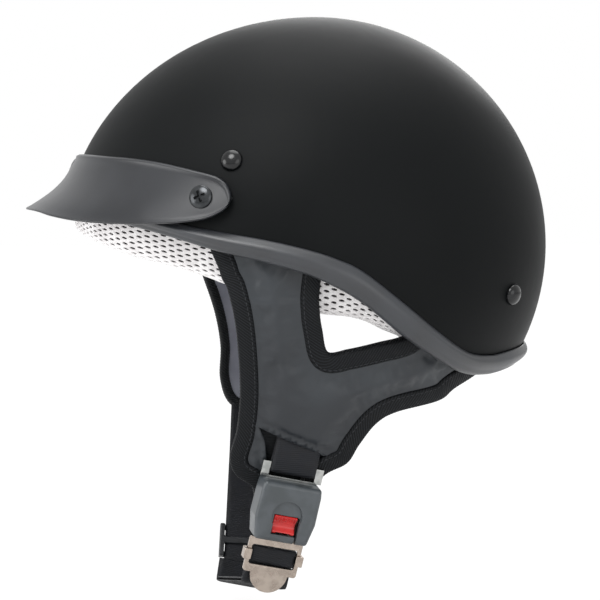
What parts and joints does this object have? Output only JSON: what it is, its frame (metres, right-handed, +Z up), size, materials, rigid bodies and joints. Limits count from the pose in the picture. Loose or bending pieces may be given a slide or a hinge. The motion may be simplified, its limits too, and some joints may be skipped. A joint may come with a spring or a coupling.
{
  "type": "half shell motorcycle helmet",
  "caption": "Half shell helmet with short screwed peak, ear and neck panels, side release chin buckle and padded liner.",
  "frame": {"origin": "centre of the head opening, at the level where the shell is widest", "axes": "-X towards the peak at the front, -Y towards the wearer's left, +Z up to the crown"},
  "size_m": [0.2988, 0.2344, 0.3366],
  "materials": {
    "shell_paint": "flat black paint",
    "trim_rubber": "satin",
    "visor_plastic": "satin",
    "black_hardware": "satin black",
    "steel": "plain",
    "foam": "closed-cell foam",
    "mesh_fabric": "white spacer mesh",
    "grey_leather": "soft leatherette",
    "lining_fabric": "brushed knit",
    "binding_tape": "ribbed woven tape",
    "webbing": "ribbed woven",
    "black_plastic": "moulded",
    "grey_plastic": "satin moulded",
    "red_plastic": "moulded",
    "chromed_steel": "polished",
    "nickel_steel": "nickel plated"
  },
  "bodies": {
    "helmet": {"outer_shell": "shell_paint", "edge_trim": "trim_rubber", "visor": "visor_plastic", "visor_screws": "black_hardware", "visor_inserts": "steel", "strap_rivets": "black_hardware", "rivet_washers": "steel", "eps_liner": "foam", "comfort_foam": "foam", "crown_pad": "foam", "mesh_liner": "mesh_fabric", "liner_roll": "mesh_fabric", "left_front_strap": "webbing", "left_rear_strap": "webbing", "right_front_strap": "webbing", "right_rear_strap": "webbing", "left_panel_face": "grey_leather", "left_panel_foam": "foam", "left_panel_lining": "lining_fabric", "left_panel_binding": "binding_tape", "right_panel_face": "grey_leather", "right_panel_foam": "foam", "right_panel_lining": "lining_fabric", "right_panel_binding": "binding_tape", "left_buckle_strap": "webbing", "right_webbing": "webbing", "chin_strap": "webbing", "buckle_back": "grey_plastic", "buckle_cover": "grey_plastic", "buckle_plate": "chromed_steel", "latch": "steel", "ejector_spring": "steel"},
    "release_button": {"release_button": "red_plastic"},
    "tongue": {"tongue": "nickel_steel"},
    "lock_bar": {"lock_bar": "nickel_steel"},
    "ejector": {"ejector": "black_plastic"},
    "chin_slider": {"chin_slider": "black_plastic"}
  },
  "joints": [
    {"name": "button_press", "type": "slide", "parent": "helmet", "child": "release_button", "axis": [-0.1549, 0.9781, 0.1392], "range_m": [0, 0.0025], "stiffness_N_per_m": 1200},
    {"name": "tongue_slide", "type": "slide", "parent": "helmet", "child": "tongue", "axis": [-0.2266, 0.1019, -0.9686], "range_m": [0, 0.022], "deforming": ["chin_strap", "latch"]},
    {"name": "ejector_slide", "type": "slide", "parent": "helmet", "child": "ejector", "axis": [-0.2266, 0.1019, -0.9686], "range_m": [0, 0.0032], "deforming": ["ejector_spring"]},
    {"name": "lock_bar_slide", "type": "slide", "parent": "tongue", "child": "lock_bar", "axis": [0.2266, -0.1019, 0.9686], "range_m": [-0.0015, 0.0015]},
    {"name": "slider_run", "type": "slide", "parent": "helmet", "child": "chin_slider", "axis": [0.0649, 0.3649, 0.9288], "range_m": [0, 0.04]}
  ],
  "couplings": [
    {"joint": "ejector_slide", "follows": "tongue_slide", "ratio": 0.145}
  ]
}
